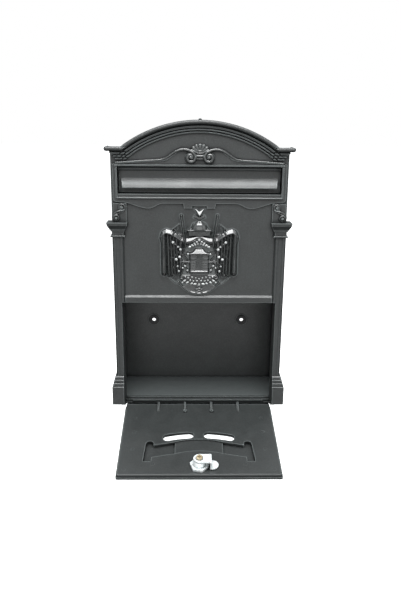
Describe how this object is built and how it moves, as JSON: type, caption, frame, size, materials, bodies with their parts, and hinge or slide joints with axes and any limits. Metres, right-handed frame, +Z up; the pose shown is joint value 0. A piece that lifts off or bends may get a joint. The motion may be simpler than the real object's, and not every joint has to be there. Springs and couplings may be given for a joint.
{
  "type": "wall letterbox",
  "caption": "Wall-mounted cast letterbox with an arched cornice, a top-hung letter flap and a drop-down front door held by a cam lock.",
  "frame": {"origin": "middle of the four wall fixings, on the wall face", "axes": "+Z up, +Y out of the back into the wall, so the front faces -Y; +X to the right seen from the front"},
  "size_m": [0.257, 0.2432, 0.4494],
  "materials": {
    "anthracite_paint": "satin, fine texture",
    "gloss_paint": "semi-gloss",
    "zinc_plate": "bright zinc",
    "steel": "plain",
    "brass": "dull",
    "rubber": "matt"
  },
  "bodies": {
    "housing": {"front_frame": "anthracite_paint", "rear_shell": "anthracite_paint", "wall_grommets": "rubber", "shell_screws": "steel", "crown_screw": "steel", "crest_badge": "gloss_paint", "crest_push_nuts": "steel", "flap_rod": "steel", "rod_clips": "steel", "left_hinge_pin": "steel", "right_hinge_pin": "steel"},
    "flap": {"letter_flap": "anthracite_paint"},
    "door": {"door_panel": "anthracite_paint", "lock_housing": "zinc_plate", "lock_nut": "zinc_plate"},
    "lock_rotor": {"lock_plug": "zinc_plate", "stop_washer": "zinc_plate", "lock_cam": "zinc_plate", "cam_washer": "steel", "cam_screw": "brass"}
  },
  "joints": [
    {"name": "door_hinge", "type": "hinge", "parent": "housing", "child": "door", "pos_m": [0, -0.0898, -0.2065], "axis": [-1, 0, 0], "range_deg": [0, 101.6]},
    {"name": "flap_hinge", "type": "hinge", "parent": "housing", "child": "flap", "pos_m": [0, -0.085, 0.1408], "axis": [-1, 0, 0], "range_deg": [0, 75]},
    {"name": "lock_turn", "type": "hinge", "parent": "door", "child": "lock_rotor", "pos_m": [0, -0.22748, -0.23201], "axis": [0, 0.2011, -0.9796], "range_deg": [0, 90]}
  ]
}
